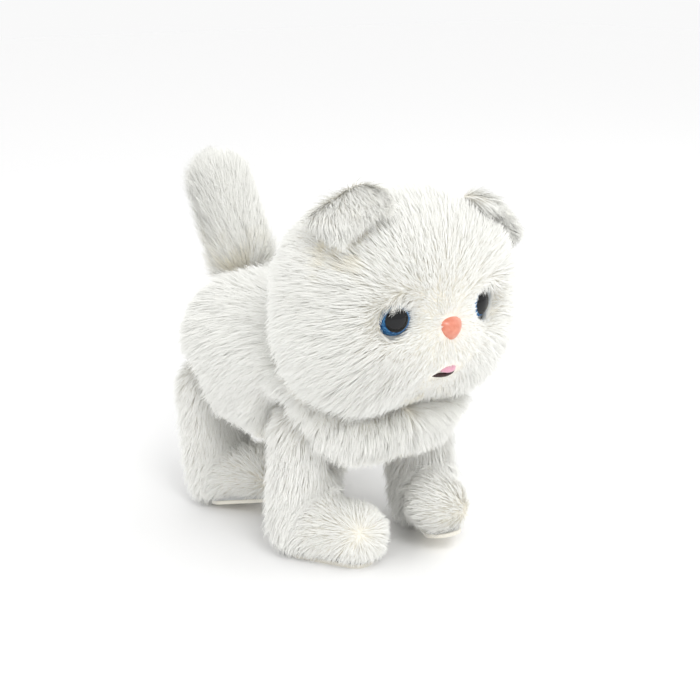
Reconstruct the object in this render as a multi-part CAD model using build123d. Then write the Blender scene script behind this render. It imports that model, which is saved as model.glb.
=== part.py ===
# Walking plush kitten, built as a toy maker would: a battery-driven chassis, a spur gear train
# that turns two crankshafts, four swinging legs, a nodding head and a wagging tail, all under plush.
# Millimetres. +Z is up, the kitten faces -Y and its right side is -X.
# The model is drawn from a datum under the neck, and save() moves it so that the origin is
# under the middle of the whole toy, on the floor.
from build123d import *
import os
from math import atan, cos, pi, radians, sin, sqrt, tan

# ---- driving dimensions -------------------------------------------------------------------
box_middle_y = 17.2          # from the drawing datum back to the middle of the toy
hip_height = 62.0            # hip pins above the floor
crank_height = 73.0          # crankshafts above the floor
train_middle_y = 23.0        # output gear, half-way between the two hips
stride_angle = 14.0          # a leg's whole swing, back to forward
leg_centre_x = 34.0
nod_angle = 8.0
wag_angle = 15.0

# gears
gear_module = 0.8            # output pinion, idlers and crank gears
fine_module = 0.5            # motor pinion and both reductions
crank_teeth = 28
idler_teeth = 34
output_pinion_teeth = 12
reduction_teeth = 44
reduction_pinion_teeth = 12
motor_pinion_teeth = 10
pressure_angle = 25.0
addendum = 0.8               # of a module
dedendum = 1.15              # of a module
backlash = 0.12              # taken off each tooth at the pitch circle
axle_fit = 0.05              # radial clearance of everything that turns on a pin

crank_to_idler = gear_module * (crank_teeth + idler_teeth) / 2
idler_to_output = gear_module * (idler_teeth + output_pinion_teeth) / 2
front_hip_y = train_middle_y - crank_to_idler - idler_to_output
rear_hip_y = train_middle_y + crank_to_idler + idler_to_output
front_idler_y = train_middle_y - idler_to_output
rear_idler_y = train_middle_y + idler_to_output
output_to_reduction = fine_module * (reduction_teeth + reduction_pinion_teeth) / 2
reduction_to_motor = fine_module * (reduction_teeth + motor_pinion_teeth) / 2
reduction_z = crank_height + output_to_reduction
motor_y = train_middle_y + reduction_to_motor

# chassis
wall = 1.8
chassis_half_width = 24.3
chassis_front_y = front_hip_y - 14.5
chassis_rear_y = rear_hip_y + 14.5
chassis_bottom = 50.0
deck_height = 88.0           # low deck at the front, under the head
roof_height = 101.5          # raised middle, over the reduction gear
tail_deck_height = 92.0

# gear planes, from the inner plate outwards
inner_plate_x = 9.5
outer_plate_x = 20.8
inner_plate_thickness = 1.5
motor_plane_x = 11.5
reduction_plane_x = 14.0
train_plane_x = 17.0
fine_gear_width = 2.0
train_gear_width = 3.0

# cranks and legs
shaft_radius = 1.5
axle_radius = 1.0
disc_radius = 5.5
disc_thickness = 1.8
disc_x = 24.7
crank_pin_radius = 1.2
crank_pin_end_x = 27.7
bone_x = 28.1
bone_thickness = 3.0
lever_arm = crank_height - hip_height
crank_throw = lever_arm * sin(radians(stride_angle / 2))
heel_reach = hip_height * tan(radians(stride_angle / 2))   # both stride ends stand equally high
toe_reach = 38.0
toe_in = 30.0                # the paws point inward
sole_half_width = 9.0
sole_inset = 3.0             # from the plush toes back to the edge of the sole
sole_thickness = 1.8

# head
head_y = -44.0
head_z = 128.0
head_half = (55.0, 38.0, 47.0)
head_round = 37.0
shell_half = (45.0, 30.0, 38.0)
shell_round = 29.0
shell_wall = 2.0
neck_y = -24.0
neck_z = 108.0
eye_x = 23.3
eye_y = -69.0
eye_z = 127.4
eye_radius = 8.8
nose_y = -82.0
nose_z = 121.7
mouth_z = 100.0

# tail
tail_y = 71.0
tail_z = 97.5
tail_lean = 29.0             # back from upright
tail_reach = 72.0            # from its pin to the centre of its rounded tip
tail_radius = 14.0

# soft parts
plush_gap = 0.6
body_half_width = 46.0
body_front_y = -58.0
body_rear_y = 90.0
body_bottom = 46.0
body_top = 118.0
body_round = 31.0
leg_radius = 15.5
foot_radius = 14.0


# ---- helpers ------------------------------------------------------------------------------
def save(name, shape):
    """Move a sub-part to the toy's own origin and write it as one STEP file."""
    export_step(Pos(0, -box_middle_y, 0) * shape, f"parts/{name}.step")


def side_plane(x):
    """A sketch plane across the toy: its own x is the toy's Y, its own y is the toy's Z."""
    return Plane(origin=(x, 0, 0), x_dir=(0, 1, 0), z_dir=(1, 0, 0))


def cross_rod(x_from, x_to, y, z, radius):
    """A round bar along X."""
    sketch = side_plane(x_from) * Pos(y, z) * Circle(radius)
    return extrude(sketch, amount=x_to - x_from)


def block(x_range, y_range, z_range):
    """A plain box between pairs of limits."""
    size = [high - low for low, high in (x_range, y_range, z_range)]
    middle = [(high + low) / 2 for low, high in (x_range, y_range, z_range)]
    return Pos(*middle) * Box(*size)


def pillow(centre, half, radius):
    """A box given by its half sizes, with every edge and corner rounded."""
    box = Pos(*centre) * Box(*[2 * axis for axis in half])
    return fillet(box.edges(), radius)


def bead(centre, radius):
    """A ball."""
    return Pos(*centre) * Sphere(radius)


def capsule(start, end, radius):
    """A round bar with ball ends."""
    run = Vector(*end) - Vector(*start)
    bar = extrude(Plane(origin=start, z_dir=run) * Circle(radius), amount=run.length)
    return bar + bead(start, radius) + bead(end, radius)


def swing(shape, angle, y, z):
    """Turn a shape about the X line through y, z; a positive angle lifts the toes forward."""
    return shape.rotate(Axis((0, y, z), (1, 0, 0)), -angle)


def mirrored(shape, side):
    """The shape on the toy's left (side 1) or its mirror image on the right (side -1)."""
    return shape if side > 0 else mirror(shape, about=Plane.YZ)


# ---- gears --------------------------------------------------------------------------------
def involute_gear(module, teeth, tooth_angle, bore):
    """Gear face about the origin, with one tooth centred at tooth_angle in degrees."""
    pitch = module * teeth / 2
    base = pitch * cos(radians(pressure_angle))
    tip = pitch + addendum * module
    root = pitch - dedendum * module
    half_tooth = pi / (2 * teeth) - backlash / (2 * pitch)
    half_tooth += tan(radians(pressure_angle)) - radians(pressure_angle)

    def half_angle(radius):
        roll = sqrt(max((radius / base) ** 2 - 1, 0))
        return half_tooth - (roll - atan(roll))

    foot = max(base, root)
    radii = [root] * (root < base) + [foot + (tip - foot) * step / 4 for step in range(5)]
    points = []
    for tooth in range(teeth):
        middle = radians(tooth_angle) + 2 * pi * tooth / teeth
        flank = [(radius, half_angle(radius)) for radius in radii]
        for radius, half in flank:
            points.append((radius * cos(middle - half), radius * sin(middle - half)))
        for radius, half in reversed(flank):
            points.append((radius * cos(middle + half), radius * sin(middle + half)))
    return make_face(Polyline(*points, close=True)) - Circle(bore)


def gear(module, teeth, tooth_angle, place, x, width, bore):
    """A spur gear on the X line through place, a (y, z) pair."""
    face = involute_gear(module, teeth, tooth_angle, bore)
    return extrude(side_plane(x) * Pos(*place) * face, amount=width)


def meshed_angle(angle, teeth, next_teeth, direction):
    """The tooth angle that puts the next gear, lying that way, in mesh with this one."""
    return direction + 180 + 180 / next_teeth - (angle - direction) * teeth / next_teeth


front_crank = (front_hip_y, crank_height)
rear_crank = (rear_hip_y, crank_height)
front_idler = (front_idler_y, crank_height)
rear_idler = (rear_idler_y, crank_height)
output_place = (train_middle_y, crank_height)
reduction_place = (train_middle_y, reduction_z)
motor_place = (motor_y, reduction_z)


def build_gear_train():
    """Motor pinion, two reductions, two idlers and the gears on both crankshafts."""
    loose = axle_radius + axle_fit
    motor_angle = 0.0
    reduction_angle = meshed_angle(motor_angle, motor_pinion_teeth, reduction_teeth, 180)
    save("motor_pinion", gear(fine_module, motor_pinion_teeth, motor_angle, motor_place,
                              motor_plane_x, fine_gear_width, axle_radius))
    save("motor_shaft", cross_rod(inner_plate_x + 0.6, motor_plane_x + fine_gear_width + 0.2,
                                  *motor_place, axle_radius))

    wheel = gear(fine_module, reduction_teeth, reduction_angle, reduction_place,
                 motor_plane_x, fine_gear_width, loose)
    pinion = gear(fine_module, reduction_pinion_teeth, reduction_angle, reduction_place,
                  motor_plane_x + fine_gear_width, fine_gear_width + 0.7, loose)
    save("reduction_gear", wheel + pinion)

    output_angle = meshed_angle(reduction_angle, reduction_pinion_teeth, reduction_teeth, -90)
    wheel = gear(fine_module, reduction_teeth, output_angle, output_place,
                 reduction_plane_x, fine_gear_width, loose)
    hub = cross_rod(reduction_plane_x + fine_gear_width, train_plane_x, *output_place, 3.0)
    hub -= cross_rod(reduction_plane_x, train_plane_x, *output_place, loose)
    pinion = gear(gear_module, output_pinion_teeth, output_angle, output_place,
                  train_plane_x, train_gear_width, loose)
    save("output_gear", wheel + hub + pinion)

    for end, idler, crank, direction in (("front", front_idler, front_crank, 180),
                                         ("rear", rear_idler, rear_crank, 0)):
        idler_angle = meshed_angle(output_angle, output_pinion_teeth, idler_teeth, direction)
        crank_angle = meshed_angle(idler_angle, idler_teeth, crank_teeth, direction)
        save(f"{end}_idler_gear", gear(gear_module, idler_teeth, idler_angle, idler,
                                       train_plane_x, train_gear_width, loose))
        save(f"{end}_crank_gear", gear(gear_module, crank_teeth, crank_angle, crank,
                                       train_plane_x, train_gear_width, shaft_radius))

    axle_end = outer_plate_x + 1.0
    axles = [cross_rod(inner_plate_x, axle_end, *place, axle_radius)
             for place in (front_idler, output_place, rear_idler, reduction_place)]
    save("gear_axles", Compound(axles))


def build_crankshafts():
    """Each crankshaft runs right across the chassis and turns a disc with a pin at each end."""
    half_stride = radians(stride_angle / 2)
    for end, place in (("front", front_crank), ("rear", rear_crank)):
        reach = disc_x + disc_thickness
        save(f"{end}_crankshaft", cross_rod(-reach, reach, *place, shaft_radius))
        discs = []
        for side in (-1, 1):
            forward = (side > 0) == (end == "front")
            toward = 1 if forward else -1
            pin_y = place[0] + toward * crank_throw * cos(half_stride)
            pin_z = place[1] - crank_throw * sin(half_stride)
            disc = cross_rod(disc_x, reach, *place, disc_radius)
            disc -= cross_rod(disc_x, reach, *place, shaft_radius)
            disc += cross_rod(reach, crank_pin_end_x, pin_y, pin_z, crank_pin_radius)
            discs.append(mirrored(disc, side))
        save(f"{end}_crank_discs", Compound(discs))


def build_gearbox():
    """Two side plates, the outer one with moulded pillars, and the screws that join them."""
    outline = [(-26, 70.6), (72, 70.6), (72, 78), (59, 86), (48, 97), (8, 97), (-4, 85.5),
               (-14, 85.5), (-26, 78)]
    face = make_face(Polyline(*outline, close=True))
    pillars = [(-9, 82.6), (10, 92), (50, 90), (55, 82.6)]
    inner = extrude(side_plane(inner_plate_x) * face, amount=inner_plate_thickness)
    outer_thickness = chassis_half_width - wall - outer_plate_x
    outer = extrude(side_plane(outer_plate_x) * face, amount=outer_thickness)
    screws = []
    for place in pillars:
        outer += cross_rod(inner_plate_x + inner_plate_thickness, outer_plate_x, *place, 1.5)
        shank = cross_rod(inner_plate_x, inner_plate_x + 6, *place, 0.8)
        head = cross_rod(inner_plate_x - 1.2, inner_plate_x, *place, 1.6)
        screws.append(shank + head)
        inner -= cross_rod(inner_plate_x, inner_plate_x + inner_plate_thickness, *place, 0.8)
        outer -= cross_rod(inner_plate_x, inner_plate_x + 6, *place, 0.8)
    for place in (front_crank, rear_crank):
        bore = cross_rod(0, chassis_half_width, *place, shaft_radius + axle_fit)
        inner -= bore
        outer -= bore
    for place in (front_idler, output_place, rear_idler, reduction_place):
        bore = cross_rod(inner_plate_x, outer_plate_x + 1.0, *place, axle_radius)
        inner -= bore
        outer -= bore
    inner -= cross_rod(0, chassis_half_width, *motor_place, 3.0)
    save("gear_plate_inner", inner)
    save("gear_plate_outer", outer)
    save("plate_screws", Compound(screws))


def build_motor():
    """Small can motor with two flats, lying across the toy, its boss in the inner plate."""
    length = 25.0
    can = cross_rod(inner_plate_x - length, inner_plate_x, *motor_place, 10.0)
    flats = block((-30, 30), (motor_y - 12, motor_y + 12), (reduction_z - 7.5, reduction_z + 7.5))
    can &= flats
    can = fillet(can.edges().filter_by(GeomType.CIRCLE), 0.8)
    front = cross_rod(inner_plate_x, inner_plate_x + inner_plate_thickness, *motor_place, 3.0)
    rear = cross_rod(inner_plate_x - length - 1.6, inner_plate_x - length, *motor_place, 3.0)
    bore = cross_rod(inner_plate_x + 0.4, motor_plane_x, *motor_place, axle_radius + axle_fit)
    motor = can + front + rear - bore
    for side in (-1, 1):
        tab_y = motor_y + side * 6
        motor += block((inner_plate_x - length - 3, inner_plate_x - length),
                       (tab_y - 1.2, tab_y + 1.2), (reduction_z - 0.3, reduction_z + 0.3))
    save("motor", motor)


# ---- chassis ------------------------------------------------------------------------------
cell_radius = 7.25
cell_length = 50.5
cell_x = (-12.6, 2.2)
cell_z = 61.6
cell_front_y = -3.0
bay_x = (-20.4, 10.1)
bay_y = (-7.0, 52.0)
bay_roof = 69.2
cover_screw_place = (-5.2, 49.8)
case_screw_places = [(-19.0, -29.0), (-19.0, 75.0), (13.5, 76.0)]
board_post_places = [(-18.0, -5.0), (5.0, -5.0), (-18.0, 15.0), (5.0, 15.0)]
board_z = 76.0
switch_y = 59.0


def chassis_face(growth):
    """Side outline of the case: a low front deck, a raised middle and a lower tail deck."""
    corners = [(chassis_front_y, chassis_bottom), (chassis_rear_y, chassis_bottom),
               (chassis_rear_y, tail_deck_height), (62, tail_deck_height), (54, roof_height),
               (6, roof_height), (-8, deck_height), (chassis_front_y, deck_height)]
    face = make_face(Polyline(*corners, close=True))
    return offset(face, amount=growth, kind=Kind.INTERSECTION) if growth else face


def chassis_solid(growth):
    """The closed case outline, grown on every side."""
    half = chassis_half_width + growth
    return extrude(side_plane(-half) * chassis_face(growth), amount=2 * half)


def upright(x, y, z_range, radius):
    """A round bar along Z."""
    low, high = z_range
    return Pos(x, y, low) * Cylinder(radius, high - low, align=(Align.CENTER, Align.CENTER, Align.MIN))


def build_case():
    """Lower and upper halves, split through the crankshafts."""
    case = chassis_solid(0) - chassis_solid(-wall)
    split = crank_height
    low_space = block((-60, 60), (-60, 120), (chassis_bottom - 1, split))
    lower = case & low_space
    upper = case - low_space

    bay = block((bay_x[0] - 1.2, bay_x[1] + 1.2), (bay_y[0] - 1.2, bay_y[1] + 1.2),
                (chassis_bottom, bay_roof + 1.2))
    lower += bay
    lower -= block(bay_x, bay_y, (chassis_bottom - 1, bay_roof))
    screw_x, screw_y = cover_screw_place
    lower += block((screw_x - 3, screw_x + 3), (screw_y - 1.7, bay_y[1]), (51.8, 60))
    lower -= upright(screw_x, screw_y, (50, 59), 1.3)
    for x, y in board_post_places:
        lower += upright(x, y, (bay_roof + 1.2, board_z), 2.0)
    lower -= block((-3.6, 3.4), (switch_y - 1.4, switch_y + 1.4), (49, 52))
    inner_wall = chassis_half_width - wall
    for side in (-1, 1):
        for hip_y in (front_hip_y, rear_hip_y):
            boss = cross_rod(inner_wall - 1.8, inner_wall, hip_y, hip_height, 3.8)
            hole = cross_rod(inner_wall - 2, 30, hip_y, hip_height, shaft_radius)
            lower = lower + mirrored(boss, side) - mirrored(hole, side)

    for x, y in case_screw_places:
        ceiling = deck_height if y < 0 else tail_deck_height
        lower += upright(x, y, (chassis_bottom + wall, split), 2.4)
        upper += upright(x, y, (split, ceiling - wall), 2.4)
        lower -= upright(x, y, (chassis_bottom - 1, chassis_bottom + 1.5), 2.3)
        lower -= upright(x, y, (chassis_bottom, split), 1.3)
        upper -= upright(x, y, (split, split + 8), 1.2)

    for place in (front_crank, rear_crank):
        bore = cross_rod(-30, 30, *place, shaft_radius + axle_fit)
        lower -= bore
        upper -= bore
    for slot in range(-2, 3):
        gap = block((slot * 4 - 0.8, slot * 4 + 0.8), (chassis_front_y - 1, chassis_front_y + 3),
                    (60, 80))
        lower -= gap
        upper -= gap

    for low_y, high_y in ((66.0, 68.4), (73.6, 76.0)):
        lug = block((-5, 5), (low_y, high_y), (tail_deck_height, tail_z))
        lug += Pos(0, high_y, tail_z) * Rot(90, 0, 0) * Cylinder(
            5, high_y - low_y, align=(Align.CENTER, Align.CENTER, Align.MIN))
        upper += lug
    upper -= Pos(0, 80, tail_z) * Rot(90, 0, 0) * Cylinder(
        shaft_radius, 20, align=(Align.CENTER, Align.CENTER, Align.MIN))
    save("chassis_lower", lower)
    save("chassis_upper", upper)

    screws = []
    for x, y in case_screw_places:
        head = upright(x, y, (chassis_bottom, chassis_bottom + 1.5), 2.2)
        shank = upright(x, y, (chassis_bottom + 1.5, split + 8), 1.2)
        cross = block((x - 1.5, x + 1.5), (y - 0.3, y + 0.3), (chassis_bottom, chassis_bottom + 0.6))
        screws.append(head + shank - cross)
    save("chassis_screws", Compound(screws))


def build_power():
    """Two cells, their contacts, the belly cover with its screw, and the slide switch."""
    cells = []
    contacts = []
    for x, turned in zip(cell_x, (False, True)):
        cell = Pos(x, cell_front_y + cell_length - 1, cell_z) * Rot(90, 0, 0) * Cylinder(
            cell_radius, cell_length - 1, align=(Align.CENTER, Align.CENTER, Align.MIN))
        cell = fillet(cell.edges().filter_by(GeomType.CIRCLE), 0.6)
        knob_y = cell_front_y + cell_length if not turned else cell_front_y
        cell = Pos(0, 1, 0) * cell if turned else cell
        knob = Pos(x, knob_y + (1 if turned else 0), cell_z) * Rot(90, 0, 0) * Cylinder(
            2.7, 1, align=(Align.CENTER, Align.CENTER, Align.MIN))
        cells.append(cell + knob)
        front_plate = block((x - 5.5, x + 5.5), (bay_y[0], bay_y[0] + 0.4), (56, 67))
        rear_plate = block((x - 5.5, x + 5.5), (bay_y[1] - 0.4, bay_y[1]), (60.6, 67))
        spring_y = bay_y[0] + 0.4 if not turned else bay_y[1] - 0.4
        facing = 1 if not turned else -1
        gap = abs(spring_y - (cell_front_y if not turned else cell_front_y + cell_length))
        coil = spring_coil(gap, 4.0, 0.35, 3)
        coil = Pos(x, spring_y, cell_z + 1.5 * turned) * Rot(-90 * facing, 0, 0) * coil
        stub_y = bay_y[1] - 0.4 if not turned else bay_y[0] + 0.4
        reach = abs(stub_y - (cell_front_y + cell_length if not turned else cell_front_y))
        stub = Pos(x, stub_y, cell_z + 1.5 * (not turned)) * Rot(90 * facing, 0, 0) * Cylinder(
            1.4, reach, align=(Align.CENTER, Align.CENTER, Align.MIN))
        contacts += [front_plate, rear_plate, coil, stub]
    save("battery_cells", Compound(cells))
    save("battery_contacts", Compound(contacts))

    fit = 0.2
    screw_x, screw_y = cover_screw_place
    cover = block((bay_x[0] + fit, bay_x[1] - fit), (bay_y[0] + fit, bay_y[1] - fit),
                  (chassis_bottom, chassis_bottom + 1.6))
    cover = fillet(cover.edges().filter_by(Axis.Z), 2.0)
    for rib in range(6):
        rib_y = 2 + rib * 3
        cover += block((-12, 2), (rib_y, rib_y + 1.2), (chassis_bottom - 0.6, chassis_bottom))
    cover -= upright(screw_x, screw_y, (chassis_bottom - 1, chassis_bottom + 2), 1.2)
    cover -= upright(screw_x, screw_y, (chassis_bottom - 1, chassis_bottom + 0.9), 2.1)
    save("battery_cover", cover)
    screw = upright(screw_x, screw_y, (chassis_bottom, chassis_bottom + 0.9), 2.1)
    screw += upright(screw_x, screw_y, (chassis_bottom + 0.9, chassis_bottom + 7), 1.2)
    screw -= block((screw_x - 1.4, screw_x + 1.4), (screw_y - 0.25, screw_y + 0.25), (50, 50.4))
    save("cover_screw", screw)

    housing = block((-6, 6), (switch_y - 3, switch_y + 3), (51.8, 57))
    slot = block((-3.6, 3.4), (switch_y - 1.4, switch_y + 1.4), (51, 54.2))
    save("power_switch", housing - slot)
    knob = block((-3.3, -0.3), (switch_y - 1.25, switch_y + 1.25), (49.2, 54.0))
    for ridge in range(3):
        groove_x = -2.8 + ridge
        knob -= block((groove_x, groove_x + 0.4), (switch_y - 2, switch_y + 2), (49, 49.5))
    save("switch_knob", knob)


def spring_coil(height, radius, wire, turns):
    """A helical spring standing on the origin along +Z, ground flat at both ends."""
    path = Helix(pitch=(height - 2 * wire) / turns, height=height - 2 * wire, radius=radius)
    path = Pos(0, 0, wire) * path
    section = Plane(origin=path @ 0, z_dir=path % 0) * Circle(wire)
    return sweep(section, path=path, is_frenet=True)


def build_electronics():
    """Control board on four posts, and the speaker behind the chest slots."""
    board = block((-21, 8), (-12, 19), (board_z, board_z + 1.6))
    top = board_z + 1.6
    board += block((-14, -4), (-4, 6), (top, top + 1.8))
    board += block((0, 5), (8, 12), (top, top + 2.5))
    for x, y in ((-17, 12), (-10, 13), (3, 0)):
        board += upright(x, y, (top, top + 6.5), 2.4)
    save("control_board", board)

    wall_y = chassis_front_y + wall
    turned = Pos(0, wall_y, 69) * Rot(-90, 0, 0)
    stand = (Align.CENTER, Align.CENTER, Align.MIN)
    basket = turned * Cylinder(13.5, 3, align=stand) - turned * Cylinder(11.5, 1.2, align=stand)
    cone = turned * Pos(0, 0, 1.2) * Cone(3.5, 3.6, 0.6, align=stand)
    magnet = turned * Pos(0, 0, 3) * Cylinder(8, 3.6, align=stand)
    save("speaker", basket + magnet - cone)


def build_hips():
    """Headed pins that carry the four legs."""
    pins = []
    for side in (-1, 1):
        for hip_y in (front_hip_y, rear_hip_y):
            shank = cross_rod(chassis_half_width - wall - 1.8, bone_x + bone_thickness + 0.2,
                              hip_y, hip_height, shaft_radius)
            head = cross_rod(bone_x + bone_thickness + 0.2, bone_x + bone_thickness + 1.4,
                             hip_y, hip_height, 3.0)
            pins.append(mirrored(shank + head, side))
    save("hip_pins", Compound(pins))


# ---- legs ---------------------------------------------------------------------------------
def bar_outline(start, end, width):
    """A flat link between two (y, z) points, with round ends."""
    run = Vector(end[0] - start[0], end[1] - start[1])
    middle = ((start[0] + end[0]) / 2, (start[1] + end[1]) / 2)
    turn = run.get_signed_angle(Vector(1, 0), Vector(0, 0, -1))
    return Pos(*middle) * Rot(0, 0, turn) * SlotCenterToCenter(run.length, width)


def turned_in(shape):
    """A left paw's shape, turned so that its toes point inward, with its round heel kept in place."""
    heel_axis = Axis((leg_centre_x, heel_reach - sole_half_width, 0), (0, 0, 1))
    return shape.rotate(heel_axis, -toe_in)


def leg_bone(ankle):
    """Slotted lever above the hip, shank below it and a flat foot, about a hip at the origin."""
    lean = radians(stride_angle / 2)
    lever_top = (-(lever_arm + 4) * sin(lean), (lever_arm + 4) * cos(lean))
    link = bar_outline((0, 0), lever_top, 8)
    link += bar_outline((0, 0), (ankle[0], ankle[1] - 7), 10)
    link += Circle(5.5)
    slot = [(-reach * sin(lean), reach * cos(lean)) for reach in (lever_arm - 3, lever_arm + 3)]
    link -= bar_outline(slot[0], slot[1], 2 * (crank_pin_radius + 0.35))
    link -= Circle(shaft_radius + axle_fit)
    bone = extrude(side_plane(bone_x) * link, amount=bone_thickness)
    floor = sole_thickness - hip_height
    half_width = sole_half_width - 1
    foot = block((leg_centre_x - half_width, leg_centre_x + half_width),
                 (-toe_reach + 5, heel_reach - 1), (floor, floor + 4))
    foot = fillet(foot.edges().filter_by(Axis.Z), 6)
    return bone + turned_in(foot)


def leg_cover(ankle, bone):
    """Stuffed plush over the shank and foot, kept clear of the case through the whole stride."""
    foot_z = foot_radius - hip_height
    cover = capsule((leg_centre_x, 0, 0), (leg_centre_x, ankle[0], ankle[1]), leg_radius)
    cover += turned_in(capsule((leg_centre_x, heel_reach - foot_radius, foot_z),
                               (leg_centre_x, foot_radius - toe_reach - 3, foot_z), foot_radius))
    cover -= block((0, 70), (-80, 80), (-hip_height - 20, sole_thickness - hip_height))
    case_space = block((0, bone_x + bone_thickness + 0.5), (-80, 80),
                       (chassis_bottom - hip_height - plush_gap, 60))
    for angle in (0, stride_angle / 2, stride_angle):
        cover -= swing(case_space, -angle, 0, 0)
    cover -= cross_rod(0, bone_x + bone_thickness + 2.4, 0, 0, 4.0)
    shank_space = bar_outline((0, 0), (ankle[0], ankle[1] - 7), 11)
    cover -= extrude(side_plane(bone_x - 0.5) * shank_space, amount=bone_thickness + 1)
    return cover - bone


def build_legs():
    """Four alike legs; opposite corners step together, half a stride apart from the others."""
    ankle = (4.0, 16.0 - hip_height)
    bone = leg_bone(ankle)
    cover = leg_cover(ankle, bone)
    sole = block((leg_centre_x - sole_half_width, leg_centre_x + sole_half_width),
                 (sole_inset - toe_reach, heel_reach), (-hip_height, sole_thickness - hip_height))
    sole = turned_in(fillet(sole.edges().filter_by(Axis.Z), sole_half_width - 0.1))
    for end, hip_y in (("front", front_hip_y), ("rear", rear_hip_y)):
        for word, side in (("right", -1), ("left", 1)):
            forward = (end == "front") == (side > 0)
            for name, piece in (("leg_bone", bone), ("leg_plush", cover), ("sole", sole)):
                placed = swing(piece, stride_angle, 0, 0) if forward else piece
                placed = Pos(0, hip_y, hip_height) * mirrored(placed, side)
                save(f"{end}_{word}_{name}", placed)


# ---- head ---------------------------------------------------------------------------------
head_centre = (0, head_y, head_z)
shell_split_y = head_y + 2.5
button_radius = 7.0
button_seat_z = 161.0
button_low_z = 165.5
button_high_z = 168.0


def shell_form(growth):
    """The closed form of the plastic head, grown on every side."""
    return pillow(head_centre, [axis + growth for axis in shell_half], shell_round + growth)


def head_form(growth):
    """The closed form of the plush head, grown on every side."""
    return pillow(head_centre, [axis + growth for axis in head_half], head_round + growth)


def eye_solid(side):
    """A domed safety eye with its stem, turned a little outwards."""
    dome = Sphere(eye_radius) & Pos(0, -eye_radius, 0) * Box(40, 2 * eye_radius, 40)
    stem = Rot(-90, 0, 0) * Cylinder(2, 9, align=(Align.CENTER, Align.CENTER, Align.MIN))
    return Pos(side * eye_x, eye_y, eye_z) * Rot(0, 0, side * 15) * (dome + stem)


def nose_solid():
    """A rounded triangle, point down, with a stem."""
    half_width = 9.0
    corners = [(-half_width, 5.0), (half_width, 5.0), (0, -8.5)]
    face = fillet(make_face(Polyline(*corners, close=True)).vertices(), 2.6)
    front = Plane(origin=(0, nose_y, nose_z), x_dir=(1, 0, 0), z_dir=(0, -1, 0))
    pad = extrude(front * face, amount=3.6)
    pad = fillet(pad.faces().sort_by(Axis.Y)[0].edges(), 1.6)
    stem = Pos(0, nose_y, nose_z) * Rot(-90, 0, 0) * Cylinder(
        2, 10, align=(Align.CENTER, Align.CENTER, Align.MIN))
    return pad + stem


def build_head():
    """Shell halves, face pieces, ears, the touch button on top and the plush over them."""
    eyes = {side: eye_solid(side) for side in (-1, 1)}
    nose = nose_solid()
    lip = pillow((0, -76, mouth_z - 0.5), (8.5, 5.5, 4.0), 3.5)
    lip += block((-3, 3), (-75, -66), (mouth_z - 3, mouth_z + 1))
    tongue = pillow((0, -77, mouth_z + 3.5), (5.2, 4.5, 2.4), 2.0) - lip

    shell = shell_form(0) - shell_form(-shell_wall)
    cup = upright(0, head_y, (button_seat_z - 3, head_z + shell_half[2]), button_radius + 3)
    cup &= shell_form(0)
    shell += cup
    shell -= upright(0, head_y, (button_seat_z, 180), button_radius + 0.8)
    shell -= upright(0, head_y, (150, 180), 2.1)
    shell -= block((-15.5, 15.5), (-41, 10), (70, 118))
    for piece in (eyes[-1], eyes[1], nose, lip):
        shell -= piece
    front_space = block((-80, 80), (-120, shell_split_y), (60, 200))
    save("head_shell_front", shell & front_space)
    save("head_shell_rear", shell - front_space)

    button = upright(0, head_y, (button_low_z, button_high_z), button_radius)
    button = fillet(button.edges().sort_by(Axis.Z)[-1], 0.8)
    button += upright(0, head_y, (button_seat_z - 7, button_low_z), 2.0)
    button += upright(0, head_y, (button_seat_z - 5, button_seat_z - 3.1), 3.2)
    save("touch_button", button)
    coil = spring_coil(button_low_z - button_seat_z, 4.2, 0.3, 3)
    save("touch_spring", Pos(0, head_y, button_seat_z) * coil)

    plush = head_form(0) + pillow((0, -73, 112), (21, 11, 15), 10)
    plush -= shell_form(0.3)
    plush -= block((-13, 13), (-37, -8), (76, 112))
    case_space = chassis_solid(plush_gap)
    for angle in (-nod_angle, 0, nod_angle):
        plush -= swing(case_space, angle, neck_y, neck_z)
    plush -= upright(0, head_y, (160, button_high_z + 1), button_radius + 0.8)
    for side in (-1, 1):
        socket = Rot(90, 0, 0) * Cylinder(eye_radius + 0.4, 30, align=(
            Align.CENTER, Align.CENTER, Align.MIN))
        plush -= Pos(side * eye_x, eye_y, eye_z) * Rot(0, 0, side * 15) * socket
    plush -= nose
    plush -= lip + tongue
    save("head_plush", plush)
    save("eye_right", eyes[-1])
    save("eye_left", eyes[1])
    save("nose", nose)
    save("mouth_lip", lip)
    save("tongue", tongue)

    right_ear = Rot(10, -22, 0) * pillow((0, 0, 0), (14, 12, 7), 6.8)
    left_ear = Rot(0, 36, 0) * pillow((0, 0, 0), (16, 8, 7), 6.8)
    save("ear_right", Pos(-33, -50, 168) * right_ear - head_form(0.1))
    save("ear_left", Pos(40, -50, 166) * left_ear - head_form(0.1))


def build_neck():
    """Post on the front deck, pin, and the yoke that carries the head on it."""
    post = block((-9, 9), (-31, -13), (deck_height, deck_height + 2.5))
    post += block((-6, 6), (neck_y - 5, neck_y + 5), (deck_height, neck_z))
    post += cross_rod(-6, 6, neck_y, neck_z, 5)
    post -= cross_rod(-6, 6, neck_y, neck_z, shaft_radius)
    save("neck_post", post)
    save("neck_pin", cross_rod(-11, 11, neck_y, neck_z, shaft_radius))

    yoke = block((-10, 10), (-30, -8), (138, 146))
    for side in (-1, 1):
        arm = block((7, 10), (neck_y - 4.5, neck_y + 4.5), (neck_z, 140))
        arm += cross_rod(7, 10, neck_y, neck_z, 4.5)
        yoke += mirrored(arm, side)
    yoke -= cross_rod(-12, 12, neck_y, neck_z, shaft_radius + axle_fit)
    yoke &= shell_form(-shell_wall)
    save("neck_yoke", yoke)


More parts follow.
